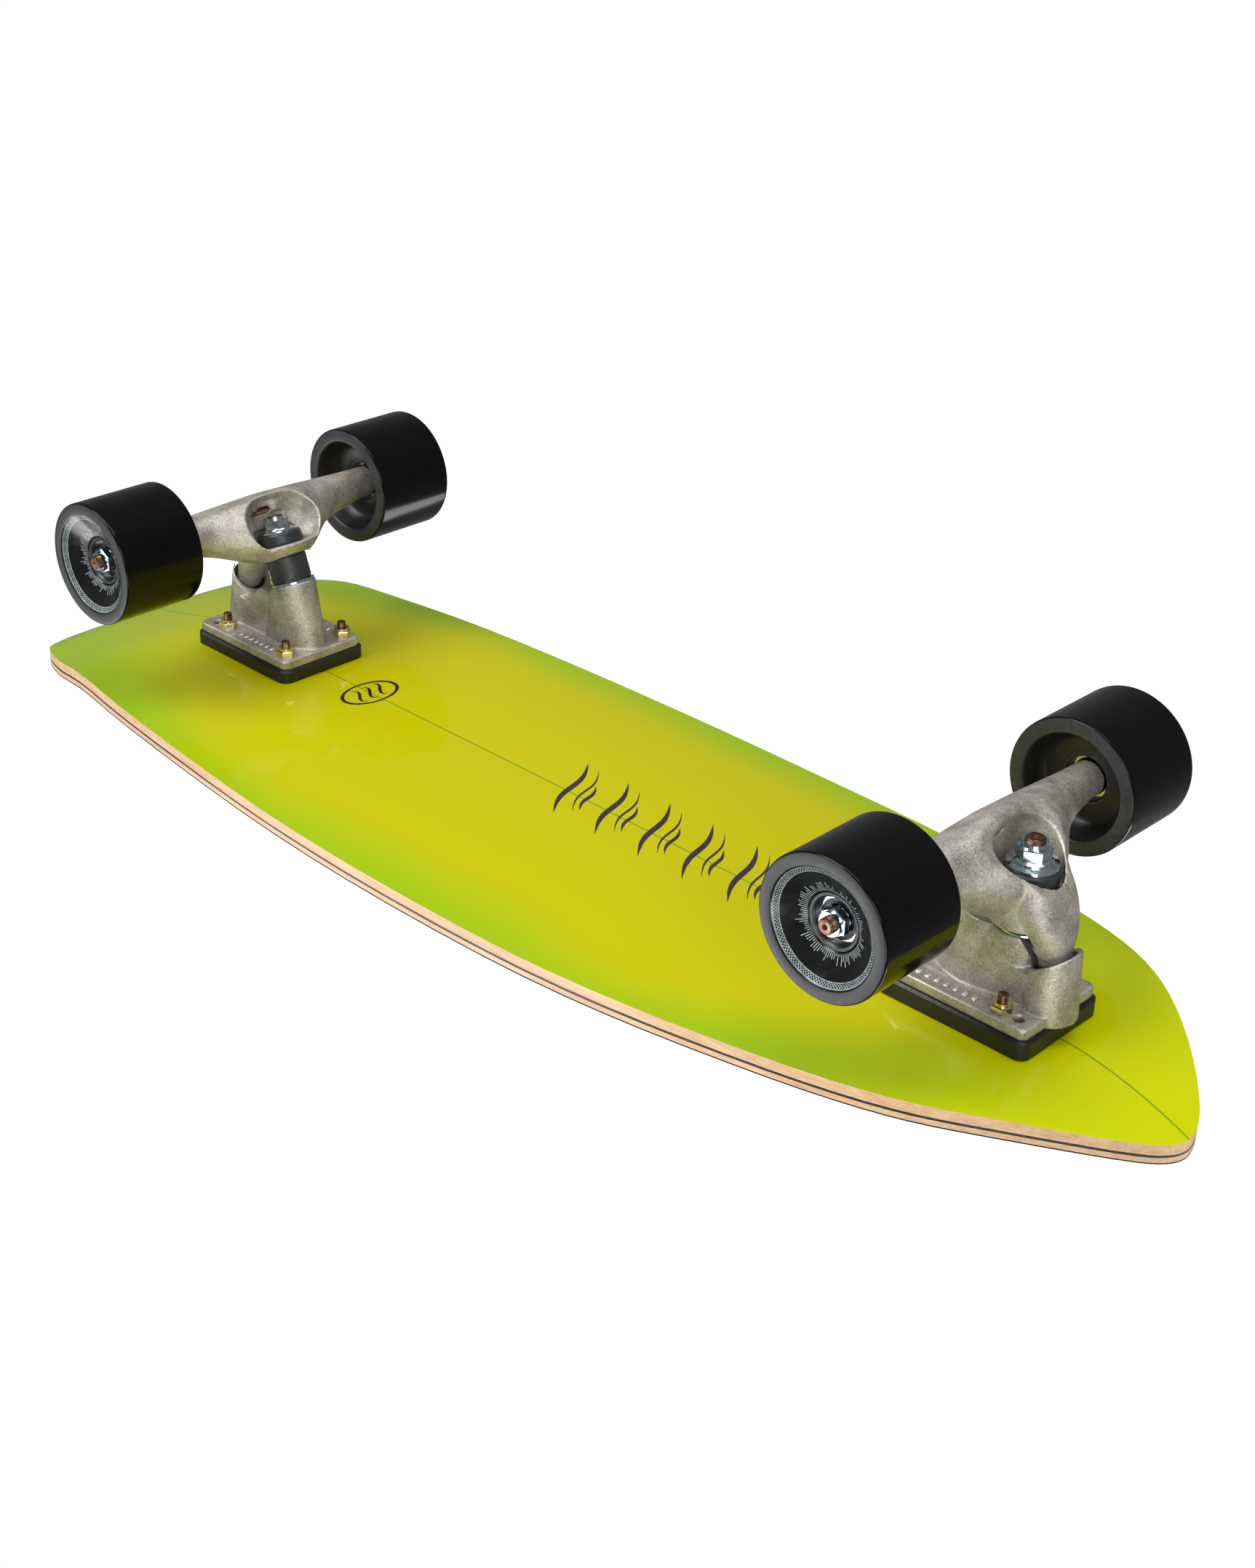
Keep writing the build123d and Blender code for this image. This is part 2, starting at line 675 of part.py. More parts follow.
# ---- the two trucks ----------------------------------------------------------------------------
BASE = (Align.CENTER, Align.CENTER, Align.MIN)

FRONT_RING = (25.3, 18.0)
FRONT_PIVOT = (43.3, 46.0)
FRONT = {
    "name": "front",
    "axle": FRONT_AXLE,
    "level": FRONT_LEVEL,
    "bolts": (31.6, -22.38),
    "spare_holes": 41.1,
    "flange": (-31.0, 50.0),
    "panel": (-28.0, 25.0),
    "ring": FRONT_RING,
    "kingpin_down": (0.0, -1.0),
    "kingpin_tip": 27.8,
    "kingpin_head": -55.5,
    "head_height": 6.5,
    "ring_thickness": 5.6,
    "lower_washer": (-17.3, -15.8, 12.5),
    "lower_bushing": (-15.8, -2.8, 12.2),
    "upper_bushing": (2.8, 14.0, 13.0),
    "cup_washer": (14.0, 18.2, 12.0),
    "kingpin_nut": (18.2, 14.3, 5.4, 2.4),
    "seat": (25.3, 35.3),
    "seat_radius": 13.4,
    "tower_foot": (8.0, 27.0, 14.0),
    "shoulder": ((36.0, 7.0, 13.0, 11.0), (70.0, 5.0, 25.0, 15.0)),
    "pivot": FRONT_PIVOT,
    "ball_radius": 8.0,
    "mouth": (-0.527, -0.850),
    "mouth_reach": 0.5,
    "housing_radius": 13.4,
    "housing_foot": (42.4, 14.2),
    "web_half_width": 12.0,
    "web": ((18.0, 70.0), (18.0, 52.0), (43.0, 52.0), (43.0, 70.0)),
    "swell_reach": 33.0,
    "lobes": ((-50, 60, 6.0), (-5, 50, 8.0), (40, 74, 22.0)),
    "beak_direction": (0.40, 0.917),
    "beak": (((27.5, 2.0), 13.5, 10.0), ((32.3, 14.0), 16.8, 12.2), ((37.6, 26.0), 15.6, 12.0), ((42.0, 38.6), 10.6, 9.2),
             ((43.2, 45.0), 7.5, 7.1)),
    "hood_radius": 17.9,
    "rim": (27.0, -0.6),
    "rim_normal": (0.608, -0.794),
    "funnel": ((2.8, 0.0, 14.9, 14.9), (14.0, -2.3, 14.3, 19.0), (24.0, -3.6, 13.0, 21.0),
               (32.0, -2.5, 12.0, 20.5), (42.0, 0.0, 11.0, 18.0)),
    "seat_bore": 14.6,
    "seat_depth": 17.0,
    "skirt_bore": 16.4,
    "skirt_depth": -20.5,
    "body_end": -13.0,
    "slit": (6.0, -6.9, 11.0),
}

REAR_RING = (21.3, 16.0)
REAR_PIVOT = (-12.5, 43.5)
REAR_LEAN = math.radians(22.0)
REAR_DOWN = (-math.sin(REAR_LEAN), -math.cos(REAR_LEAN))
REAR = {
    "name": "rear",
    "axle": REAR_AXLE,
    "level": REAR_LEVEL,
    "bolts": (46.3, -7.68),
    "spare_holes": -17.2,
    "flange": (-26.0, 54.5),
    "panel": (-1.0, 39.5),
    "ring": REAR_RING,
    "kingpin_down": REAR_DOWN,
    "kingpin_tip": 20.0,
    "kingpin_head": -55.0,
    "head_height": 6.5,
    "ring_thickness": 6.0,
    "lower_washer": (-20.4, -18.8, 12.8),
    "lower_bushing": (-18.8, -3.0, 11.6),
    "upper_bushing": (3.0, 10.4, 13.0),
    "cup_washer": (10.4, 12.6, 11.0),
    "kingpin_nut": (12.6, 13.4, 4.6, 2.0),
    "seat": (REAR_RING[0] - 20.4 * REAR_DOWN[0], REAR_RING[1] - 20.4 * REAR_DOWN[1]),
    "seat_radius": 13.3,
    "tower_foot": (28.0, 25.0, 14.0),
    "pivot": REAR_PIVOT,
    "ball_radius": 7.5,
    "mouth": (0.72, -0.694),
    "mouth_reach": 3.0,
    "housing_radius": 12.0,
    "housing_foot": (-12.0, 13.8),
    "web_half_width": 12.0,
    "web": ((-12.0, 70.0), (-12.0, 52.0), (-1.0, 51.0), (13.0, 40.0), (28.0, 40.0), (28.0, 70.0)),
    "swell_reach": 29.0,
    "lobes": ((-38, 58, 8.0), (16, 54, 22.0), (68, 50, 10.0)),
    "beak_direction": (-0.51, 0.860),
    "beak": (((5.0, 14.0), 15.5, 11.5), ((-3.2, 28.0), 12.0, 9.8), ((-9.6, 38.6), 8.6, 8.0),
             ((-12.0, 42.6), 7.0, 6.8)),
    "pocket": (25.0, -4.0),
    "seat_bore": 14.6,
    "seat_depth": 13.5,
    "skirt_bore": 13.8,
    "skirt_depth": -40.0,
    "body_end": -8.0,
    "slit": (4.0, -3.0, 16.0),
}
TRUCKS = (FRONT, REAR)


def write(name, solids):
    """Write one node; a list is a group of separate solids."""
    if isinstance(solids, list):
        shape = Compound(children=[s if isinstance(s, Solid) else s.solid() for s in solids])
    else:
        shape = solids.solid()
    shape.label = name
    export_step(shape, f"parts/{name}.step")


def write_deck():
    """The plies, the grip tape and the fasteners of the deck."""
    outline = deck_outline()
    holes = [bolt_profile(x, y, level, BOLT_HOLE_RADIUS - BOLT_RADIUS) for x, y, level in bolt_spots()]
    pitch = PLY_THICKNESS + GLUE_GAP
    for number in range(PLY_COUNT):
        low = number * pitch
        write(f"ply_{number + 1}", deck_layer(outline, holes, low, low + PLY_THICKNESS))
    low = PLY_COUNT * pitch
    grip = deck_layer(outline, holes, low, low + GRIP_THICKNESS)
    start, end = REST_STRIP
    level = REAR_LEVEL + low + GRIP_THICKNESS - REST_STRIP_DEPTH
    strip = Pos((start + end) / 2, 0, level) * Box(end - start, REST_STRIP_WIDTH, 5, align=BASE)
    write("grip_tape", grip - strip)
    write("truck_bolts", truck_bolts())
    write("truck_lock_nuts", truck_lock_nuts())


def write_truck(truck):
    """Every part of one truck apart from its wheels."""
    pieces = {
        "riser_pad": riser_pad(truck),
        "baseplate": baseplate(truck),
        "pivot_cup": pivot_cup(truck),
        "kingpin": kingpin(truck),
        "lower_washer": lower_washer(truck),
        "lower_bushing": lower_bushing(truck),
        "upper_bushing": upper_bushing(truck),
        "cup_washer": cup_washer(truck),
        "kingpin_nut": kingpin_nut(truck),
        "hanger": hanger(truck),
        "axle": axle(),
    }
    for part, shape in pieces.items():
        write(f"{truck['name']}_{part}", place(truck["axle"], shape))
    groups = {
        "bearing_inner_rings": inner_rings(),
        "bearing_spacers": [spacer()],
        "speed_washers": speed_washers(),
        "axle_nuts": [axle_nut()],
    }
    for part, left in groups.items():
        solids = []
        for shape in left:
            solids += [place(truck["axle"], s) for s in both_sides(shape)]
        write(f"{truck['name']}_{part}", solids)


def write_wheels(truck):
    """Both wheels of a truck, each with its core and its bearings."""
    pieces = {
        "wheel": [wheel()],
        "wheel_core": [wheel_core()],
        "bearing_outer_rings": outer_rings(),
        "bearing_balls": balls(),
        "bearing_shields": shields(),
    }
    for part, left in pieces.items():
        for index, side in enumerate(("left", "right")):
            solids = [place(truck["axle"], both_sides(shape)[index]) for shape in left]
            write(f"{truck['name']}_{side}_{part}", solids if len(solids) > 1 else solids[0])


os.makedirs("parts", exist_ok=True)
write_deck()
for each in TRUCKS:
    write_truck(each)
    write_wheels(each)
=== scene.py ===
"""Looks of the skateboard: materials, detailed wheels and castings, paint marks, stage and camera."""
import math

import bmesh
import bpy
from mathutils import Matrix, Vector
from mathutils.bvhtree import BVHTree


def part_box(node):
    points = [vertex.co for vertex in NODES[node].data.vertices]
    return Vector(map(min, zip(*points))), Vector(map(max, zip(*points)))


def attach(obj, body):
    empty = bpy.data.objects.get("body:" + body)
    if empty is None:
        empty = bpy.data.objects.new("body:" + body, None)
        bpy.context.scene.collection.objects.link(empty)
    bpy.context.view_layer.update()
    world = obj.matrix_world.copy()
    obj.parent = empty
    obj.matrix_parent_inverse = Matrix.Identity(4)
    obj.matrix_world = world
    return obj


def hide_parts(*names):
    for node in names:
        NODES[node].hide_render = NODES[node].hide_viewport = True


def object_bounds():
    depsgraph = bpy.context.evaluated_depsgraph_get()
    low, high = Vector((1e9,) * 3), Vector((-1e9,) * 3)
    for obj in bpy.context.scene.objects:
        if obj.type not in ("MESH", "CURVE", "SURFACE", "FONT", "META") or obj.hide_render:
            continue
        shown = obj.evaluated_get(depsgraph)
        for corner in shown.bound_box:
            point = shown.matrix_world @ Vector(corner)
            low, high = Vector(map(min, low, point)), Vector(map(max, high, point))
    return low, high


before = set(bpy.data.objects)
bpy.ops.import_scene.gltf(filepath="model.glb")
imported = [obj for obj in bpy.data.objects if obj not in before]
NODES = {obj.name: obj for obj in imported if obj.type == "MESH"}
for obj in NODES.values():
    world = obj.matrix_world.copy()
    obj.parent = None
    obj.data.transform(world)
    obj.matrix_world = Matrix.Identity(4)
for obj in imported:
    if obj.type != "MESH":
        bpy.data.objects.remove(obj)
MM = 0.001
TRUCKS = ("front", "rear")
SIDES = {"left": 1, "right": -1}
PLIES = 7                   # counted from the painted one
DARK_PLY = 5
cad_low, cad_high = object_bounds()


def middle(node):
    """Centre of a CAD node's box."""
    low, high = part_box(node)
    return (low + high) / 2


AXLES = {truck: middle(f"{truck}_axle") for truck in TRUCKS}
FLANGE_LOW = 0.1030         # height of the flanges' lower faces


# ---- node graph helpers -----------------------------------------------------------------------
# places of the colour sockets on Blender's mix node
MIX_FIRST_COLOR = 6
MIX_SECOND_COLOR = 7
MIX_RESULT_COLOR = 2
COAT_ROUGHNESS = 0.06


class Graph:
    """A material under construction: a few short calls that add and link shader nodes."""

    def __init__(self, name, color, metallic=0.0, roughness=0.5, coat=0.0, specular=0.5):
        self.material = bpy.data.materials.new(name)
        self.material.use_nodes = True
        self.tree = self.material.node_tree
        self.shader = self.tree.nodes["Principled BSDF"]
        self.shader.inputs["Base Color"].default_value = (*color, 1)
        self.shader.inputs["Metallic"].default_value = metallic
        self.shader.inputs["Roughness"].default_value = roughness
        self.shader.inputs["Coat Weight"].default_value = coat
        self.shader.inputs["Coat Roughness"].default_value = COAT_ROUGHNESS
        self.shader.inputs["Specular IOR Level"].default_value = specular
        self.material.diffuse_color = (*color, 1)

    def add(self, kind, **values):
        """A new node; keys that name an attribute set it, the others set the input of that name."""
        node = self.tree.nodes.new(kind)
        for key, value in values.items():
            if hasattr(node, key):
                setattr(node, key, value)
            else:
                self.feed(node.inputs[key.replace("_", " ")], value)
        return node

    def feed(self, socket, value):
        """Link an output to a socket, or set the socket's value."""
        if isinstance(value, bpy.types.NodeSocket):
            self.tree.links.new(value, socket)
        else:
            socket.default_value = value

    def math(self, operation, first, second=0.0):
        """One scalar operation."""
        node = self.tree.nodes.new("ShaderNodeMath")
        node.operation = operation
        for socket, value in zip(node.inputs, (first, second)):
            self.feed(socket, value)
        return node.outputs[0]

    def place(self):
        """Object coordinates in metres."""
        return self.add("ShaderNodeTexCoord").outputs["Object"]

    def stretched(self, scale):
        """Object coordinates scaled along each axis."""
        mapping = self.add("ShaderNodeMapping")
        self.feed(mapping.inputs["Vector"], self.place())
        mapping.inputs["Scale"].default_value = scale
        return mapping.outputs["Vector"]

    def noise(self, scale, detail=4.0, roughness=0.55, at=None):
        """Noise from 0 to 1."""
        node = self.add("ShaderNodeTexNoise")
        self.feed(node.inputs["Vector"], at or self.place())
        node.inputs["Scale"].default_value = scale
        node.inputs["Detail"].default_value = detail
        node.inputs["Roughness"].default_value = roughness
        return node.outputs["Fac"]

    def ramp(self, factor, stops):
        """Colour from a list of (position, colour) stops."""
        node = self.add("ShaderNodeValToRGB")
        self.feed(node.inputs["Fac"], factor)
        elements = node.color_ramp.elements
        for index, (position, color) in enumerate(stops):
            element = elements[index] if index < 2 else elements.new(position)
            element.position = position
            element.color = (*color, 1)
        return node.outputs["Color"]

    def spread(self, factor, low, high, out_low=0.0, out_high=1.0, smooth=False):
        """Map a value from one range to another, clamped."""
        node = self.add("ShaderNodeMapRange")
        if smooth:
            node.interpolation_type = "SMOOTHSTEP"
        for socket, value in zip(node.inputs, (factor, low, high, out_low, out_high)):
            self.feed(socket, value)
        return node.outputs["Result"]

    def mix(self, factor, first, second):
        """Mix of two colours."""
        node = self.add("ShaderNodeMix")
        node.data_type = "RGBA"
        self.feed(node.inputs["Factor"], factor)
        for index, value in ((MIX_FIRST_COLOR, first), (MIX_SECOND_COLOR, second)):
            self.feed(node.inputs[index], (*value, 1) if isinstance(value, tuple) else value)
        return node.outputs[MIX_RESULT_COLOR]

    def bump(self, height, distance, strength=1.0, below=None):
        """Bump in metres on the shader's normal, on top of another bump if one is given."""
        node = self.add("ShaderNodeBump")
        self.feed(node.inputs["Height"], height)
        node.inputs["Distance"].default_value = distance
        node.inputs["Strength"].default_value = strength
        if below is not None:
            self.feed(node.inputs["Normal"], below)
        self.feed(self.shader.inputs["Normal"], node.outputs["Normal"])
        return node.outputs["Normal"]

    def color(self, value):
        """Set or link the base colour."""
        self.feed(self.shader.inputs["Base Color"], value)

    def rough(self, value):
        """Set or link the roughness."""
        self.feed(self.shader.inputs["Roughness"], value)

    def edges(self, low, high):
        """How convex the surface is, from 0 to 1."""
        return self.spread(self.add("ShaderNodeNewGeometry").outputs["Pointiness"], low, high)


def linear(red, green, blue):
    """Linear colour from 0-255 sRGB values."""
    def one(value):
        value /= 255
        return value / 12.92 if value <= 0.04045 else ((value + 0.055) / 1.055) ** 2.4
    return (one(red), one(green), one(blue))


# ---- materials --------------------------------------------------------------------------------
PAINT_MIDDLE = linear(193, 188, 0)
PAINT_EDGE = linear(150, 186, 16)
PAINT_NOSE = linear(212, 220, 0)
PAINT_TAIL = linear(146, 172, 36)
PAINT_LINE = linear(96, 146, 14)
PAINT_LINE_HALF_WIDTH = 0.00055
THREAD_PITCH = 1.05 * MM

# rings printed on the dished wheel face: inner and outer radius (mm)
LATTICE_RING = (25.2, 27.2)
INNER_RIM = (24.75, 25.1)
OUTER_RIM = (27.2, 27.5)
LATTICE_TURNS = 54
LATTICE_SLOPE = 2300.0
RAYS = 96
RAY_START = 14.2 * MM
RAY_SHORTEST = 15.2 * MM
RAY_LONGEST = 19.4 * MM


def cast_aluminium():
    """Raw tumbled casting: warm grey, speckled, worn bright on its edges."""
    g = Graph("cast_aluminium", linear(150, 146, 140), metallic=0.62, roughness=0.5)
    cloud = g.noise(70, 5, 0.65)
    grain = g.noise(1100, 3, 0.6)
    tone = g.math("ADD", g.math("MULTIPLY", cloud, 0.55), g.math("MULTIPLY", grain, 0.45))
    base = g.ramp(tone, [(0.34, linear(134, 130, 120)), (0.5, linear(184, 179, 168)),
                         (0.66, linear(220, 215, 203))])
    speck = g.spread(g.noise(620, 5, 0.7), 0.60, 0.68)
    base = g.mix(g.math("MULTIPLY", speck, 0.75), base, linear(236, 231, 218))
    stain = g.spread(g.noise(330, 4, 0.65), 0.37, 0.30)
    base = g.mix(g.math("MULTIPLY", stain, 0.5), base, linear(84, 80, 74))
    worn = g.edges(0.52, 0.60)
    g.color(g.mix(worn, base, linear(232, 229, 220)))
    g.rough(g.spread(g.math("ADD", cloud, g.math("MULTIPLY", worn, -0.5)), 0.1, 0.8, 0.36, 0.6))
    lumps = g.bump(g.noise(260, 4, 0.6), 0.0004, 0.7)
    g.bump(g.noise(1500, 2, 0.5), 0.00014, 0.8, lumps)
    return g.material


def deck_paint():
    """Glossy clear-coated paint: a yellow middle that fades to lime green at the edges and ends."""
    g = Graph("deck_paint", linear(192, 187, 0), roughness=0.3, coat=0.4, specular=0.06)
    split = g.add("ShaderNodeSeparateXYZ", Vector=g.place())
    along, across = split.outputs["X"], split.outputs["Y"]
    drift = g.math("MULTIPLY", g.math("SUBTRACT", g.noise(7, 3, 0.5), 0.5), 0.035)
    out = g.math("ADD", g.math("ABSOLUTE", across), drift)
    half = g.spread(g.math("ABSOLUTE", g.math("ADD", along, 0.02)), 0.16, 0.40, 0.108, 0.03)
    edge = g.spread(g.math("SUBTRACT", out, half), -0.028, 0.024, smooth=True)
    paint = g.mix(edge, PAINT_MIDDLE, PAINT_EDGE)
    nose = g.spread(along, 0.20, 0.36, smooth=True)
    paint = g.mix(g.math("MULTIPLY", nose, 0.9), paint, PAINT_NOSE)
    tail = g.spread(along, -0.22, -0.37, smooth=True)
    paint = g.mix(g.math("MULTIPLY", tail, 0.75), paint, PAINT_TAIL)
    stringer = g.math("LESS_THAN", g.math("ABSOLUTE", across), PAINT_LINE_HALF_WIDTH)
    g.color(g.mix(g.math("MULTIPLY", stringer, 0.75), paint, PAINT_LINE))
    g.rough(g.spread(g.noise(30, 3), 0.3, 0.7, 0.28, 0.36))
    g.bump(g.noise(9, 2), 0.0006, 0.15)
    return g.material


def maple(name, dark, light):
    """Veneer seen on its edge: long fine grain."""
    g = Graph(name, light, roughness=0.55, coat=0.15)
    grain = g.noise(60, 6, 0.65, g.stretched((0.35, 3.0, 6.0)))
    fibre = g.noise(900, 3, 0.6, g.stretched((0.06, 0.7, 1.5)))
    tone = g.math("ADD", g.math("MULTIPLY", grain, 0.6), g.math("MULTIPLY", fibre, 0.4))
    g.color(g.ramp(tone, [(0.35, dark), (0.65, light)]))
    g.rough(g.spread(fibre, 0.3, 0.7, 0.45, 0.65))
    g.bump(fibre, 0.0001, 0.5)
    return g.material


def grip_tape():
    """Black grit on a sheet, with painted glints on some grains."""
    g = Graph("grip_tape", linear(26, 26, 27), roughness=0.85)
    grit = g.add("ShaderNodeTexVoronoi", Scale=1500.0)
    g.feed(grit.inputs["Vector"], g.place())
    # painted glints: light grey flecks in the colour stand in for light catching the grit
    painted_grit_glint = g.spread(g.noise(2400, 2, 0.7), 0.60, 0.72)
    base = g.ramp(g.noise(14, 4), [(0.35, linear(20, 20, 21)), (0.7, linear(34, 34, 36))])
    g.color(g.mix(painted_grit_glint, base, linear(78, 78, 82)))
    g.rough(g.spread(grit.outputs["Distance"], 0.0, 0.6, 0.62, 0.95))
    g.bump(grit.outputs["Distance"], 0.0003, 0.9)
    return g.material


def tread():
    """Gloss black urethane with a faint casting haze."""
    g = Graph("wheel_tread", linear(8, 8, 9), roughness=0.14, specular=0.2)
    haze = g.noise(40, 4, 0.6, g.stretched((1, 0.25, 1)))
    g.color(g.ramp(haze, [(0.3, linear(5, 5, 6)), (0.75, linear(13, 13, 14))]))
    g.rough(g.spread(haze, 0.3, 0.75, 0.09, 0.19))
    g.bump(g.noise(120, 3, 0.5, g.stretched((1, 0.1, 1))), 0.00006, 0.35)
    return g.material


def lip():
    """Satin turned face of the urethane."""
    g = Graph("wheel_lip", linear(38, 38, 40), roughness=0.5)
    fine = g.noise(500, 4, 0.6)
    g.color(g.ramp(fine, [(0.3, linear(36, 37, 39)), (0.7, linear(54, 55, 58))]))
    g.rough(g.spread(fine, 0.3, 0.7, 0.36, 0.52))
    g.bump(fine, 0.00005, 0.5)
    return g.material


def printed_dish():
    """The dished face: a lattice ring near the rim and uneven rays around the bearing."""
    g = Graph("wheel_print", linear(16, 16, 17), roughness=0.35)
    split = g.add("ShaderNodeSeparateXYZ", Vector=g.place())
    x, z = split.outputs["X"], split.outputs["Z"]
    radius = g.math("SQRT", g.math("ADD", g.math("MULTIPLY", x, x), g.math("MULTIPLY", z, z)))
    turn = g.math("ARCTAN2", z, x)

    def band(low, high):
        beyond = g.math("GREATER_THAN", radius, low * MM)
        within = g.math("LESS_THAN", radius, high * MM)
        return g.math("MULTIPLY", beyond, within)

    def weave(slope):
        phase = g.math("ADD", g.math("MULTIPLY", turn, LATTICE_TURNS), g.math("MULTIPLY", radius, slope))
        return g.math("LESS_THAN", g.math("ABSOLUTE", g.math("SINE", phase)), 0.36)

    lattice = g.math("MAXIMUM", weave(LATTICE_SLOPE), weave(-LATTICE_SLOPE))
    lattice = g.math("MULTIPLY", lattice, band(*LATTICE_RING))
    rims = g.math("MAXIMUM", band(*INNER_RIM), band(*OUTER_RIM))
    count = g.math("MULTIPLY", turn, RAYS / (2 * math.pi))
    ray = g.math("LESS_THAN", g.math("ABSOLUTE", g.math("SUBTRACT", g.math("FRACT", count), 0.5)), 0.17)
    number = g.add("ShaderNodeTexWhiteNoise", noise_dimensions="1D")
    g.feed(number.inputs["W"], g.math("FLOOR", count))
    reach = g.spread(number.outputs["Value"], 0.0, 1.0, RAY_SHORTEST, RAY_LONGEST)
    ray = g.math("MULTIPLY", ray, g.math("LESS_THAN", radius, reach))
    ray = g.math("MULTIPLY", ray, g.math("GREATER_THAN", radius, RAY_START))
    ink = g.math("MAXIMUM", g.math("MAXIMUM", lattice, rims), ray)
    worn = g.spread(g.noise(420, 3, 0.6), 0.38, 0.55)
    ink = g.math("MULTIPLY", ink, g.math("ADD", g.math("MULTIPLY", worn, 0.35), 0.6))
    g.color(g.mix(ink, linear(10, 10, 11), linear(176, 186, 188)))
    g.rough(g.spread(g.noise(300, 3), 0.3, 0.7, 0.16, 0.3))
    g.bump(g.noise(600, 3), 0.00004, 0.4)
    return g.material


def recess():
    """The unpolished back of the wheel, deep in shade."""
    g = Graph("wheel_recess", linear(14, 14, 15), roughness=0.42)
    fine = g.noise(260, 4)
    g.color(g.ramp(fine, [(0.3, linear(10, 10, 11)), (0.7, linear(20, 20, 21))]))
    g.bump(fine, 0.00008, 0.4)
    return g.material


def plastic(name, low, high, roughness):
    """Moulded plastic or rubber with a fine texture."""
    g = Graph(name, high, roughness=roughness)
    fine = g.noise(700, 3, 0.6)
    g.color(g.ramp(g.noise(80, 4), [(0.3, low), (0.7, high)]))
    g.rough(g.spread(fine, 0.3, 0.7, roughness - 0.08, roughness + 0.1))
    g.bump(fine, 0.00008, 0.5)
    return g.material


def plated(name, stops, roughness):
    """Plated steel whose passivation drifts in colour."""
    g = Graph(name, stops[1][1], metallic=1.0, roughness=roughness)
    g.color(g.ramp(g.noise(160, 4, 0.6), stops))
    fine = g.noise(1200, 3)
    g.rough(g.spread(fine, 0.3, 0.7, roughness - 0.06, roughness + 0.08))
    g.bump(fine, 0.00004, 0.4)
    return g.material


def threaded(name, stops, roughness, direction):
    """Steel with the ridges of a thread across a direction."""
    g = Graph(name, stops[1][1], metallic=1.0, roughness=roughness)
    g.color(g.ramp(g.noise(260, 4, 0.6), stops))
    dot = g.add("ShaderNodeVectorMath", operation="DOT_PRODUCT")
    g.feed(dot.inputs[0], g.place())
    dot.inputs[1].default_value = direction
    wave = g.math("SINE", g.math("MULTIPLY", dot.outputs["Value"], 2 * math.pi / THREAD_PITCH))
    g.bump(wave, 0.00022, 0.9)
    return g.material


def ink():
    """Screen-printed purple-black ink on the painted face."""
    g = Graph("print_ink", linear(48, 22, 50), roughness=0.3, coat=0.8)
    fine = g.noise(900, 3)
    g.color(g.ramp(fine, [(0.3, linear(40, 16, 42)), (0.7, linear(60, 34, 58))]))
    g.rough(g.spread(fine, 0.3, 0.7, 0.25, 0.38))
    return g.material


BLUE_ZINC = [(0.3, linear(112, 168, 196)), (0.5, linear(214, 222, 226)), (0.72, linear(160, 196, 200))]
YELLOW_ZINC = [(0.3, linear(196, 160, 100)), (0.5, linear(236, 222, 172)), (0.72, linear(214, 196, 176))]
BARE_STEEL = [(0.3, linear(110, 100, 92)), (0.5, linear(160, 155, 150)), (0.7, linear(190, 188, 184))]
BROWN_STEEL = [(0.3, linear(84, 58, 46)), (0.5, linear(132, 98, 80)), (0.7, linear(166, 140, 124))]
BRIGHT_STEEL = [(0.3, linear(170, 172, 176)), (0.5, linear(204, 205, 208)), (0.7, linear(224, 224, 226))]
KINGPIN_DIRECTION = {"front": (0.0, 0.0, 1.0), "rear": (0.3746, 0.0, 0.9272)}
M = {
    "cast": cast_aluminium(),
    "paint": deck_paint(),
    "maple": maple("maple_edge", linear(208, 162, 116), linear(242, 208, 164)),
    "dark_ply": maple("dark_ply_edge", linear(34, 26, 30), linear(58, 46, 50)),
    "grip": grip_tape(),
    "tread": tread(),
    "lip": lip(),
    "print": printed_dish(),
    "recess": recess(),
    "riser": plastic("riser_rubber", linear(17, 17, 18), linear(30, 30, 31), 0.45),
    "core": plastic("core_plastic", linear(18, 18, 20), linear(34, 35, 38), 0.34),
    "bushing": plastic("bushing_urethane", linear(36, 40, 44), linear(58, 62, 66), 0.42),
    "cup": plastic("cup_plastic", linear(12, 12, 12), linear(24, 24, 24), 0.5),
    "shield": plated("bearing_shield", [(0.3, linear(40, 40, 43)), (0.5, linear(62, 62, 66)),
                                        (0.7, linear(84, 84, 88))], 0.35),
    "zinc": plated("blue_zinc", BLUE_ZINC, 0.13),
    "yellow": plated("yellow_zinc", YELLOW_ZINC, 0.2),
    "steel": plated("bare_steel", BARE_STEEL, 0.3),
    "bright": plated("bearing_steel", BRIGHT_STEEL, 0.16),
    "axle": threaded("axle_thread", BROWN_STEEL, 0.34, (0.0, 1.0, 0.0)),
    "bolt": threaded("bolt_thread", BROWN_STEEL, 0.3, (0.0, 0.0, 1.0)),
    "ink": ink(),
}
for each in TRUCKS:
    M[f"{each}_kingpin"] = threaded(f"{each}_kingpin_thread", BROWN_STEEL, 0.32, KINGPIN_DIRECTION[each])


# ---- CAD nodes: smooth shading and materials ---------------------------------------------------
def smooth(mesh, degrees=32):
    """Smooth shading with the true edges kept sharp."""
    if mesh.has_custom_normals:
        mesh.attributes.remove(mesh.attributes["custom_normal"])
    mesh.shade_smooth()
    mesh.set_sharp_from_angle(angle=math.radians(degrees))


def paint_node(node, *materials, pick=None):
    """Give a CAD node its materials; pick(polygon) says which of them a face takes."""
    mesh = NODES[node].data
    mesh.materials.clear()
    for material in materials:
        mesh.materials.append(material)
    for polygon in mesh.polygons:
        polygon.material_index = pick(polygon) if pick else 0
    smooth(mesh)


def down_face(polygon):
    """Material 1 for a face that looks down, else 0."""
    return 1 if polygon.normal.z < -0.6 else 0


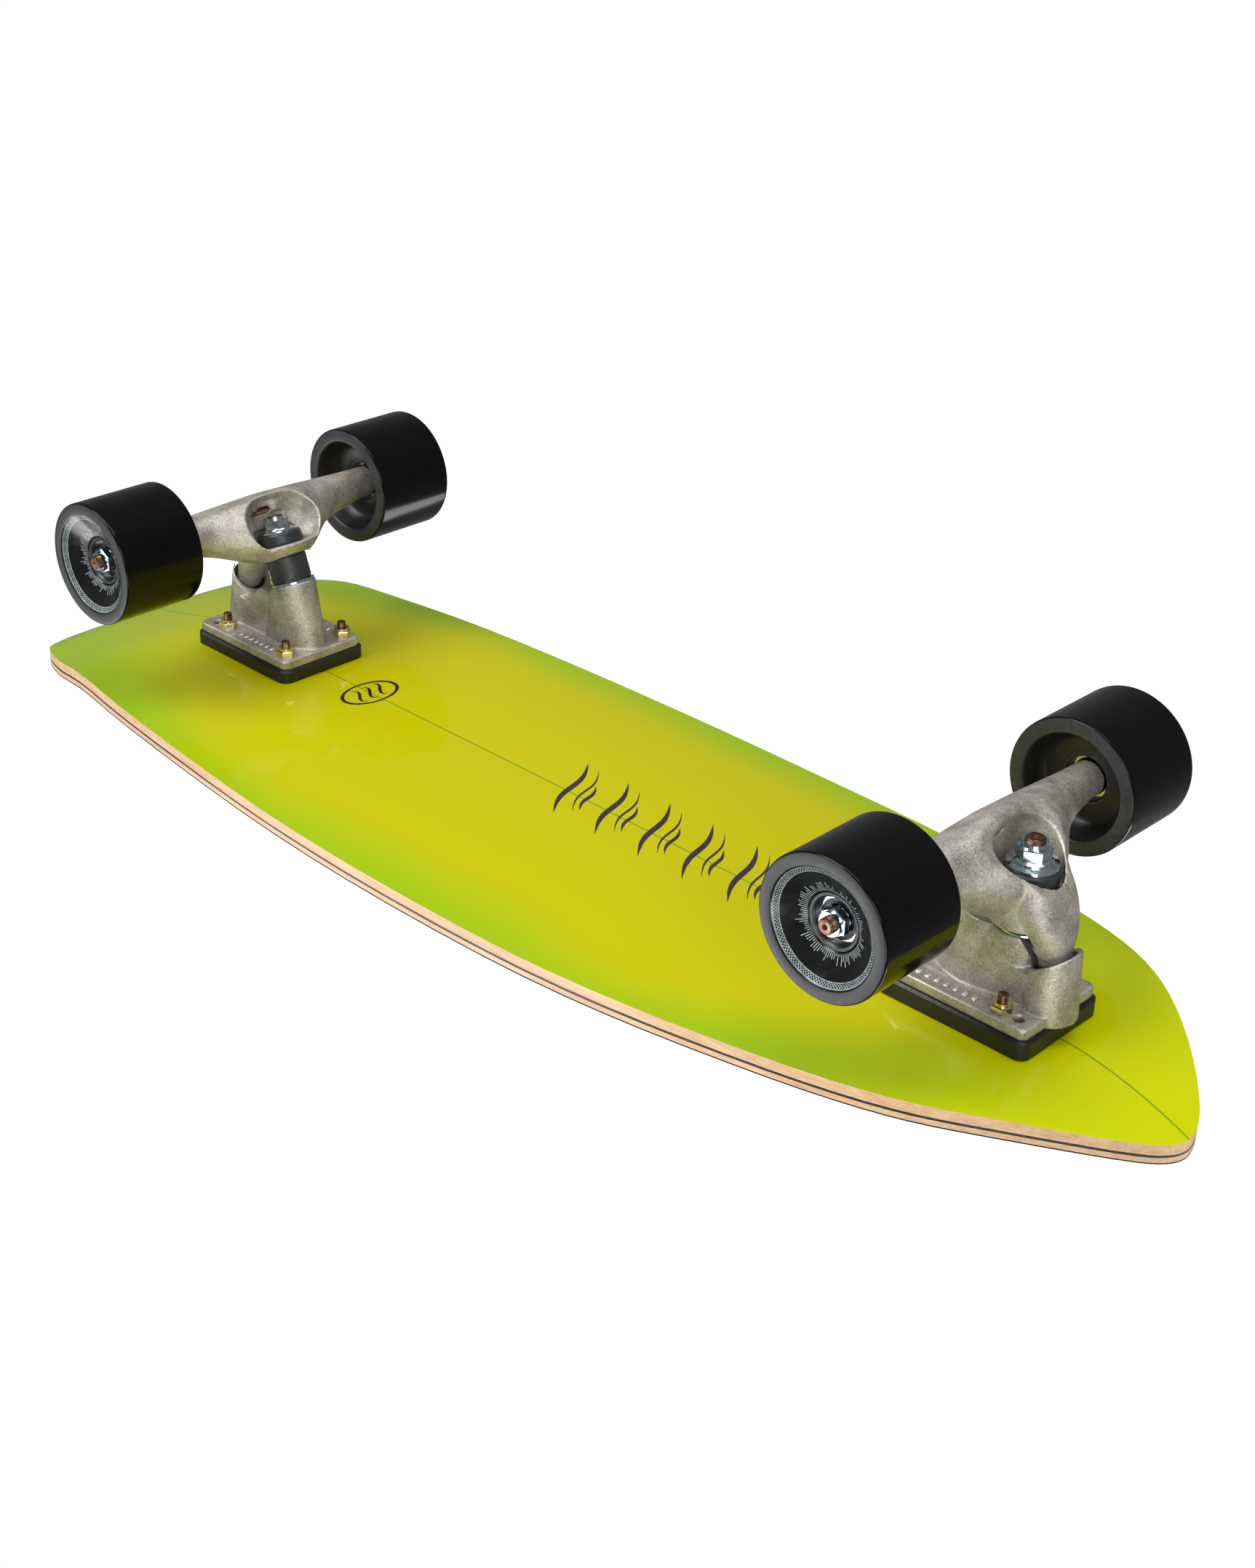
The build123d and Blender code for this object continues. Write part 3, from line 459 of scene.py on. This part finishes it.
def dress_nodes():
    """Materials of every CAD node that stays."""
    for number in range(2, PLIES + 1):
        paint_node(f"ply_{number}", M["dark_ply"] if number == DARK_PLY else M["maple"])
    paint_node("ply_1", M["maple"], M["paint"], pick=down_face)
    paint_node("grip_tape", M["grip"])
    paint_node("truck_bolts", M["bolt"])
    paint_node("truck_lock_nuts", M["yellow"])
    parts = {
        "riser_pad": "riser", "baseplate": "cast", "hanger": "cast", "pivot_cup": "cup",
        "lower_washer": "zinc", "lower_bushing": "bushing", "upper_bushing": "bushing",
        "cup_washer": "zinc", "kingpin_nut": "zinc", "axle": "axle", "bearing_inner_rings": "bright",
        "bearing_spacers": "steel", "speed_washers": "zinc", "axle_nuts": "zinc",
    }
    wheel_parts = {"wheel": "lip", "wheel_core": "core", "bearing_outer_rings": "bright",
                   "bearing_balls": "bright", "bearing_shields": "shield"}
    for truck in TRUCKS:
        for part, key in parts.items():
            paint_node(f"{truck}_{part}", M[key])
        paint_node(f"{truck}_kingpin", M[f"{truck}_kingpin"])
        for side in SIDES:
            for part, key in wheel_parts.items():
                paint_node(f"{truck}_{side}_{part}", M[key])


# ---- castings -------------------------------------------------------------------------------------
# voxel size (metres) and smoothing rounds of each finer copy
HANGER_SKIN = (0.0008, 9)
BASEPLATE_SKIN = (0.0007, 4)


def casting(node, body, voxel, rounds):
    """A finer copy of a cast node with rounded edges, shown in place of the node."""
    piece = NODES[node].copy()
    piece.data = NODES[node].data.copy()
    piece.name = f"{node}_casting"
    for key in list(piece.keys()):
        del piece[key]
    piece.parent = None
    bpy.context.scene.collection.objects.link(piece)
    remesh = piece.modifiers.new("remesh", "REMESH")
    remesh.mode = "VOXEL"
    remesh.voxel_size = voxel
    soften = piece.modifiers.new("soften", "SMOOTH")
    soften.iterations = rounds
    soften.factor = 0.5
    depsgraph = bpy.context.evaluated_depsgraph_get()
    mesh = bpy.data.meshes.new_from_object(piece.evaluated_get(depsgraph))
    piece.modifiers.clear()
    piece.data = mesh
    mesh.materials.clear()
    mesh.materials.append(M["cast"])
    mesh.shade_smooth()
    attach(piece, body)
    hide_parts(node)


# ---- wheels -----------------------------------------------------------------------------------------
WHEEL_SEGMENTS = 144
WHEEL_MATERIALS = ("tread", "lip", "print", "recess")
WHEEL_SHARP_ANGLE = 40
WHEEL_PROFILE = [
    # distance of each point from the board's middle, radius (mm), material of the band that starts there
    (77.9, 13.3, "recess"), (77.9, 20.0, "recess"), (76.0, 22.6, "recess"), (72.0, 24.2, "recess"),
    (66.9, 26.4, "recess"), (65.7, 26.9, "lip"), (65.3, 27.6, "lip"), (65.25, 28.4, "lip"),
    (65.25, 33.4, "lip"),
    (65.35, 33.9, "tread"), (65.65, 34.3, "tread"), (66.15, 34.47, "tread"), (67.0, 34.5, "tread"),
    (78.0, 34.5, "tread"), (90.5, 34.5, "tread"), (103.0, 34.5, "tread"), (114.1, 34.5, "tread"),
    (114.95, 34.47, "tread"), (115.45, 34.3, "tread"), (115.75, 33.9, "lip"), (115.85, 33.4, "lip"),
    (115.85, 28.6, "lip"), (115.75, 28.1, "print"), (115.3, 27.7, "print"), (114.6, 26.6, "print"),
    (113.2, 24.4, "print"), (111.4, 21.2, "print"), (109.4, 17.2, "print"), (107.9, 14.2, "print"),
    (107.3, 13.6, "recess"), (106.6, 13.3, "recess"), (106.4, 13.3, "recess"),
]


def lathe(name, profile, segments, materials):
    """A mesh of revolution about Y from (distance, radius, material) points, closed end to start."""
    mesh = bpy.data.meshes.new(name)
    keys = list(materials)
    vertices, faces, slots = [], [], []
    count = len(profile)
    for step in range(segments):
        angle = 2 * math.pi * step / segments
        for y, radius, _ in profile:
            vertices.append((radius * MM * math.cos(angle), y * MM, radius * MM * math.sin(angle)))
    for step in range(segments):
        after = (step + 1) % segments
        for index in range(count):
            following = (index + 1) % count
            faces.append((step * count + index, after * count + index, after * count + following,
                          step * count + following))
            slots.append(keys.index(profile[index][2]))
    mesh.from_pydata(vertices, [], faces)
    for key in keys:
        mesh.materials.append(M[key])
    mesh.polygons.foreach_set("material_index", slots)
    work = bmesh.new()
    work.from_mesh(mesh)
    bmesh.ops.recalc_face_normals(work, faces=work.faces)
    work.to_mesh(mesh)
    work.free()
    smooth(mesh, WHEEL_SHARP_ANGLE)
    piece = bpy.data.objects.new(name, mesh)
    bpy.context.scene.collection.objects.link(piece)
    return piece


def wheels():
    """Fine urethane wheels in place of the CAD ones."""
    for truck in TRUCKS:
        for side, sign in SIDES.items():
            profile = [(sign * y, radius, key) for y, radius, key in WHEEL_PROFILE]
            piece = lathe(f"{truck}_{side}_tyre", profile, WHEEL_SEGMENTS, WHEEL_MATERIALS)
            piece.location = (AXLES[truck].x, 0, AXLES[truck].z)
            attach(piece, f"{truck}_{side}_wheel_set")
            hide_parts(f"{truck}_{side}_wheel")


# ---- paint marks on the deck --------------------------------------------------------------------------
INK_LIFT = 0.00004          # ink lies this far outside the paint
THINNEST_STROKE = 0.0003
STROKE_STEPS = 32


def underside():
    """The painted face as a search tree."""
    return BVHTree.FromObject(NODES["ply_1"], bpy.context.evaluated_depsgraph_get())


def on_deck(tree, x, y):
    """A point just under the painted face."""
    hit = tree.ray_cast(Vector((x, y, 0.0)), Vector((0, 0, 1)))[0]
    return Vector((x, y, hit.z - INK_LIFT))


def ribbon(name, tree, centres, widths, closed=False):
    """A flat printed stroke on the deck along plan points, with a width at each (metres)."""
    vertices, faces = [], []
    count = len(centres)
    for index, (x, y) in enumerate(centres):
        before = centres[index - 1] if index or closed else centres[index]
        after = centres[(index + 1) % count] if index < count - 1 or closed else centres[index]
        side = Vector((before[1] - after[1], after[0] - before[0])).normalized()
        for sign in (-0.5, 0.5):
            away = sign * widths[index]
            vertices.append(on_deck(tree, x + side.x * away, y + side.y * away))
    for index in range(count if closed else count - 1):
        following = (index + 1) % count
        faces.append((2 * index, 2 * index + 1, 2 * following + 1, 2 * following))
    mesh = bpy.data.meshes.new(name)
    mesh.from_pydata(vertices, [], faces)
    mesh.materials.append(M["ink"])
    work = bmesh.new()
    work.from_mesh(mesh)
    for face in work.faces:
        if face.normal.z > 0:
            face.normal_flip()
    work.to_mesh(mesh)
    work.free()
    piece = bpy.data.objects.new(name, mesh)
    bpy.context.scene.collection.objects.link(piece)
    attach(piece, "deck")


def swell(t, widest):
    """Stroke width from a point at both ends to its widest in the middle."""
    return max(widest * math.sin(math.pi * t) ** 0.8, THINNEST_STROKE)


def stroke(name, tree, start, length, slope, bend, widest):
    """A slender S-shaped stroke across the board: start is its middle, slope its lean along the board."""
    centres, widths = [], []
    for step in range(STROKE_STEPS + 1):
        t = step / STROKE_STEPS
        across = (t - 0.5) * length
        forward = slope * across + bend * math.sin(2 * math.pi * t)
        centres.append((start[0] + forward, start[1] + across))
        widths.append(swell(t, widest))
    ribbon(name, tree, centres, widths)


REEDS = [
    # offset along the board from the group's middle, across it, length, lean, bend, width (mm)
    (0.0, 0.0, 52.0, 0.50, 2.4, 3.6),
    (8.0, -3.0, 40.0, 0.50, 2.0, 1.5),
    (14.5, 2.0, 25.0, 0.50, 1.4, 2.4),
]
REED_GROUPS = 6
REED_START = 0.150
REED_STEP = 0.0305
REED_ACROSS = -0.004
EMBLEM = (-0.162, 0.0115, 0.0180)   # middle along the board, half length, half width
OVAL_STEPS = 72
OVAL_LINE = 0.0015
OVAL_LINE_GAIN = 0.0008
WAVE_STEPS = 24
WAVE_OFFSETS = (-0.0075, 0.0, 0.0075)
WAVE_HALF_LENGTH = 0.0072
WAVE_SWING = 0.0028
WAVE_WIDTH = 0.0020


def marks():
    """Six groups of slender strokes along the middle and a small oval ring near the rear truck."""
    tree = underside()
    for group in range(REED_GROUPS):
        for number, (along, across, length, lean, bend, width) in enumerate(REEDS):
            place = (REED_START - REED_STEP * group + along * MM, across * MM + REED_ACROSS)
            stroke(f"deck_stroke_{group + 1}_{number + 1}", tree, place, length * MM, lean,
                   bend * MM, width * MM)
    centre, half_along, half_across = EMBLEM
    centres, widths = [], []
    for step in range(OVAL_STEPS):
        angle = 2 * math.pi * step / OVAL_STEPS
        centres.append((centre + half_along * math.cos(angle), half_across * math.sin(angle)))
        widths.append(OVAL_LINE + OVAL_LINE_GAIN * math.sin(angle) ** 2)
    ribbon("deck_oval", tree, centres, widths, closed=True)
    for number, offset in enumerate(WAVE_OFFSETS):
        stroke_centres, stroke_widths = [], []
        for step in range(WAVE_STEPS + 1):
            t = step / WAVE_STEPS
            along = centre + WAVE_HALF_LENGTH * math.cos(math.pi * t)
            across = offset + WAVE_SWING * math.sin(2 * math.pi * t)
            stroke_centres.append((along, across))
            stroke_widths.append(swell(t, WAVE_WIDTH))
        ribbon(f"deck_oval_wave_{number + 1}", tree, stroke_centres, stroke_widths)


# forward place of the first mark from the axle, spacing (mm) and count of the marks cast on a flange
CAST_MARKS = {"front": (-14.0, 5.2, 7), "rear": (6.0, 4.6, 7)}
MARK_ACROSS = 0.0210
MARK_SIZE = (2.6, 4.6, 0.5)
MARK_DROP = 0.00035         # middle of a mark past the flange's lower face
MARK_BEVEL = 0.00022


def cast_marks():
    """A row of small raised pads on both panels of each flange."""
    for truck, (start, pitch, count) in CAST_MARKS.items():
        for side in (-1, 1):
            work = bmesh.new()
            for number in range(count):
                size = Matrix.Diagonal((*(length * MM for length in MARK_SIZE), 1))
                spot = Matrix.Translation(((start + pitch * number) * MM + AXLES[truck].x, side * MARK_ACROSS,
                                           FLANGE_LOW + MARK_DROP))
                bmesh.ops.create_cube(work, size=1.0, matrix=spot @ size)
            bmesh.ops.bevel(work, geom=work.edges[:], offset=MARK_BEVEL, segments=2, affect="EDGES")
            mesh = bpy.data.meshes.new(f"{truck}_mark")
            work.to_mesh(mesh)
            work.free()
            mesh.materials.append(M["cast"])
            mesh.shade_smooth()
            piece = bpy.data.objects.new(f"{truck}_panel_marks_{'left' if side > 0 else 'right'}", mesh)
            bpy.context.scene.collection.objects.link(piece)
            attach(piece, "deck")


# ---- stage, light and camera -----------------------------------------------------------------------------
FLOOR_REACH = 6.0
BACKDROP_GAP = 0.001        # the backdrop's height over the board
BACKDROP_GLOW = 1.05
WORLD_STRENGTH = 0.2
LIGHT_TARGET = (0.0, 0.0, 0.09)
LIGHTS = {
    # place, size, power
    "under_key": ((-1.5, 2.3, -2.9), (2.2, 2.2), 132),
    "under_middle": ((0.5, -0.2, -3.6), (2.4, 2.4), 50),
    "under_fill": ((2.6, 2.0, -1.4), (2.0, 1.6), 44),
    "top_key": ((1.4, -1.4, 3.0), (2.2, 2.2), 95),
    "top_fill": ((-2.0, 1.9, 2.4), (2.0, 2.0), 60),
    "top_side": ((2.4, 2.4, 1.3), (1.8, 1.4), 36),
}
CAMERA_PLACE = (0.7586, 0.7654, -0.4670)
CAMERA_BACK = (0.59576, 0.65371, -0.46660)
CAMERA_LEVEL = (0.73911, -0.67359, 0.0)
CAMERA_ROLL = 2.219
CAMERA_LENS = 52.96
CAMERA_SHIFT = (-0.0176, -0.0096)


def floor(name, height, up):
    """A pale floor that shows only from its own side; the one over the deck is evenly lit."""
    g = Graph(name, (0.9, 0.9, 0.9), roughness=0.9)
    g.color(g.ramp(g.noise(2, 3), [(0.3, (0.89, 0.89, 0.89)), (0.7, (0.93, 0.93, 0.93))]))
    shown = g.shader.outputs["BSDF"]
    if not up:
        glow = g.add("ShaderNodeEmission")
        glow.inputs["Color"].default_value = (1, 1, 1, 1)
        glow.inputs["Strength"].default_value = BACKDROP_GLOW
        shown = glow.outputs["Emission"]
    clear = g.add("ShaderNodeBsdfTransparent")
    choose = g.add("ShaderNodeMixShader")
    g.feed(choose.inputs["Fac"], g.add("ShaderNodeNewGeometry").outputs["Backfacing"])
    g.feed(choose.inputs[1], shown)
    g.feed(choose.inputs[2], clear.outputs["BSDF"])
    g.feed(g.tree.nodes["Material Output"].inputs["Surface"], choose.outputs["Shader"])
    mesh = bpy.data.meshes.new(name)
    ring = ((-1, -1), (1, -1), (1, 1), (-1, 1))
    corners = [(FLOOR_REACH * x, FLOOR_REACH * y, height) for x, y in ring]
    mesh.from_pydata(corners if up else corners[::-1], [], [(0, 1, 2, 3)])
    mesh.materials.append(g.material)
    piece = bpy.data.objects.new(name, mesh)
    bpy.context.scene.collection.objects.link(piece)
    piece.visible_shadow = False
    piece.visible_diffuse = False
    piece.visible_glossy = False


def softbox(name, place, size, power):
    """A rectangular area light aimed at the board."""
    light = bpy.data.lights.new(name, "AREA")
    light.shape = "RECTANGLE"
    light.size, light.size_y = size
    light.energy = power
    lamp = bpy.data.objects.new(name, light)
    bpy.context.scene.collection.objects.link(lamp)
    lamp.location = place
    aim = Vector(LIGHT_TARGET) - Vector(place)
    lamp.rotation_euler = aim.to_track_quat("-Z", "Y").to_euler()


def lights():
    """Soft studio light from both sides of the board."""
    world = bpy.data.worlds.new("studio")
    world.use_nodes = True
    background = world.node_tree.nodes["Background"]
    background.inputs["Color"].default_value = (1, 1, 1, 1)
    background.inputs["Strength"].default_value = WORLD_STRENGTH
    bpy.context.scene.world = world
    for name, (place, size, power) in LIGHTS.items():
        softbox(name, place, size, power)


def camera():
    """The camera: under the board at its left front, so that the wheels point up in the picture."""
    data = bpy.data.cameras.new("camera")
    data.sensor_width = 36
    data.lens = CAMERA_LENS
    data.shift_x, data.shift_y = CAMERA_SHIFT
    data.clip_start = 0.01
    back = Vector(CAMERA_BACK).normalized()
    roll = math.radians(CAMERA_ROLL)
    level = Vector(CAMERA_LEVEL)
    rise = back.cross(level).normalized()
    right = (math.cos(roll) * level + math.sin(roll) * rise).normalized()
    up = back.cross(right).normalized()
    turn = Matrix((right, up, back)).transposed().to_4x4()
    view = bpy.data.objects.new("camera", data)
    bpy.context.scene.collection.objects.link(view)
    view.matrix_world = Matrix.Translation(Vector(CAMERA_PLACE)) @ turn
    bpy.context.scene.camera = view


dress_nodes()
for each in TRUCKS:
    casting(f"{each}_hanger", f"{each}_truck_hanger", *HANGER_SKIN)
    casting(f"{each}_baseplate", "deck", *BASEPLATE_SKIN)
wheels()
marks()
cast_marks()
floor("floor_under_wheels", cad_low.z, True)
floor("floor_over_deck", cad_high.z + BACKDROP_GAP, False)
lights()
camera()
bpy.context.scene.view_settings.view_transform = "Standard"
